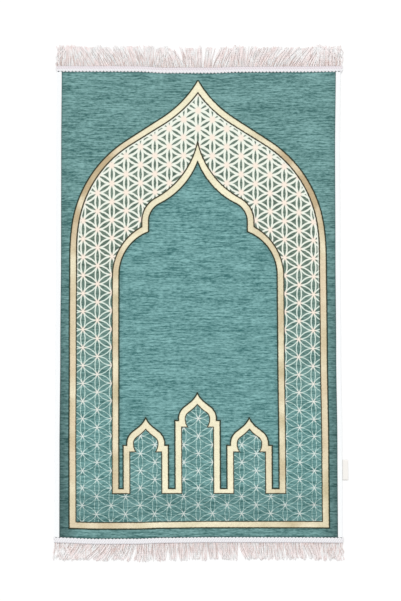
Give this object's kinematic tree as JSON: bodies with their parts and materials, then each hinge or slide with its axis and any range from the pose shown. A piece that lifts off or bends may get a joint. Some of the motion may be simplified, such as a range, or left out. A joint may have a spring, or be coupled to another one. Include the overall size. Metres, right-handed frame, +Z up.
{
  "type": "prayer rug",
  "caption": "Flat woven chenille prayer rug with a pointed arch design, taped long sides, braided ends and a cord fringe at head and foot.",
  "frame": {"origin": "middle of the floor area that the rug's box covers, on its underside", "axes": "+Y along the rug towards the point of the arch, +X to the right across it, +Z up out of its patterned face"},
  "size_m": [0.6991, 1.2261, 0.0038],
  "materials": {
    "chenille": "matt teal chenille weave with a pale gold and cream woven design",
    "tape": "white woven binding tape",
    "braid": "white ribbed braid with a faint pink cast",
    "cord": "twisted off-white cotton-like yarn with a pink cast",
    "label": "smooth ivory label tape, blank"
  },
  "bodies": {
    "root": {"woven_panel": "chenille", "side_binding_left": "tape", "side_binding_right": "tape", "end_braid_head": "braid", "end_braid_foot": "braid", "fringe_head": "cord", "fringe_foot": "cord", "side_label": "label"}
  },
  "joints": []
}
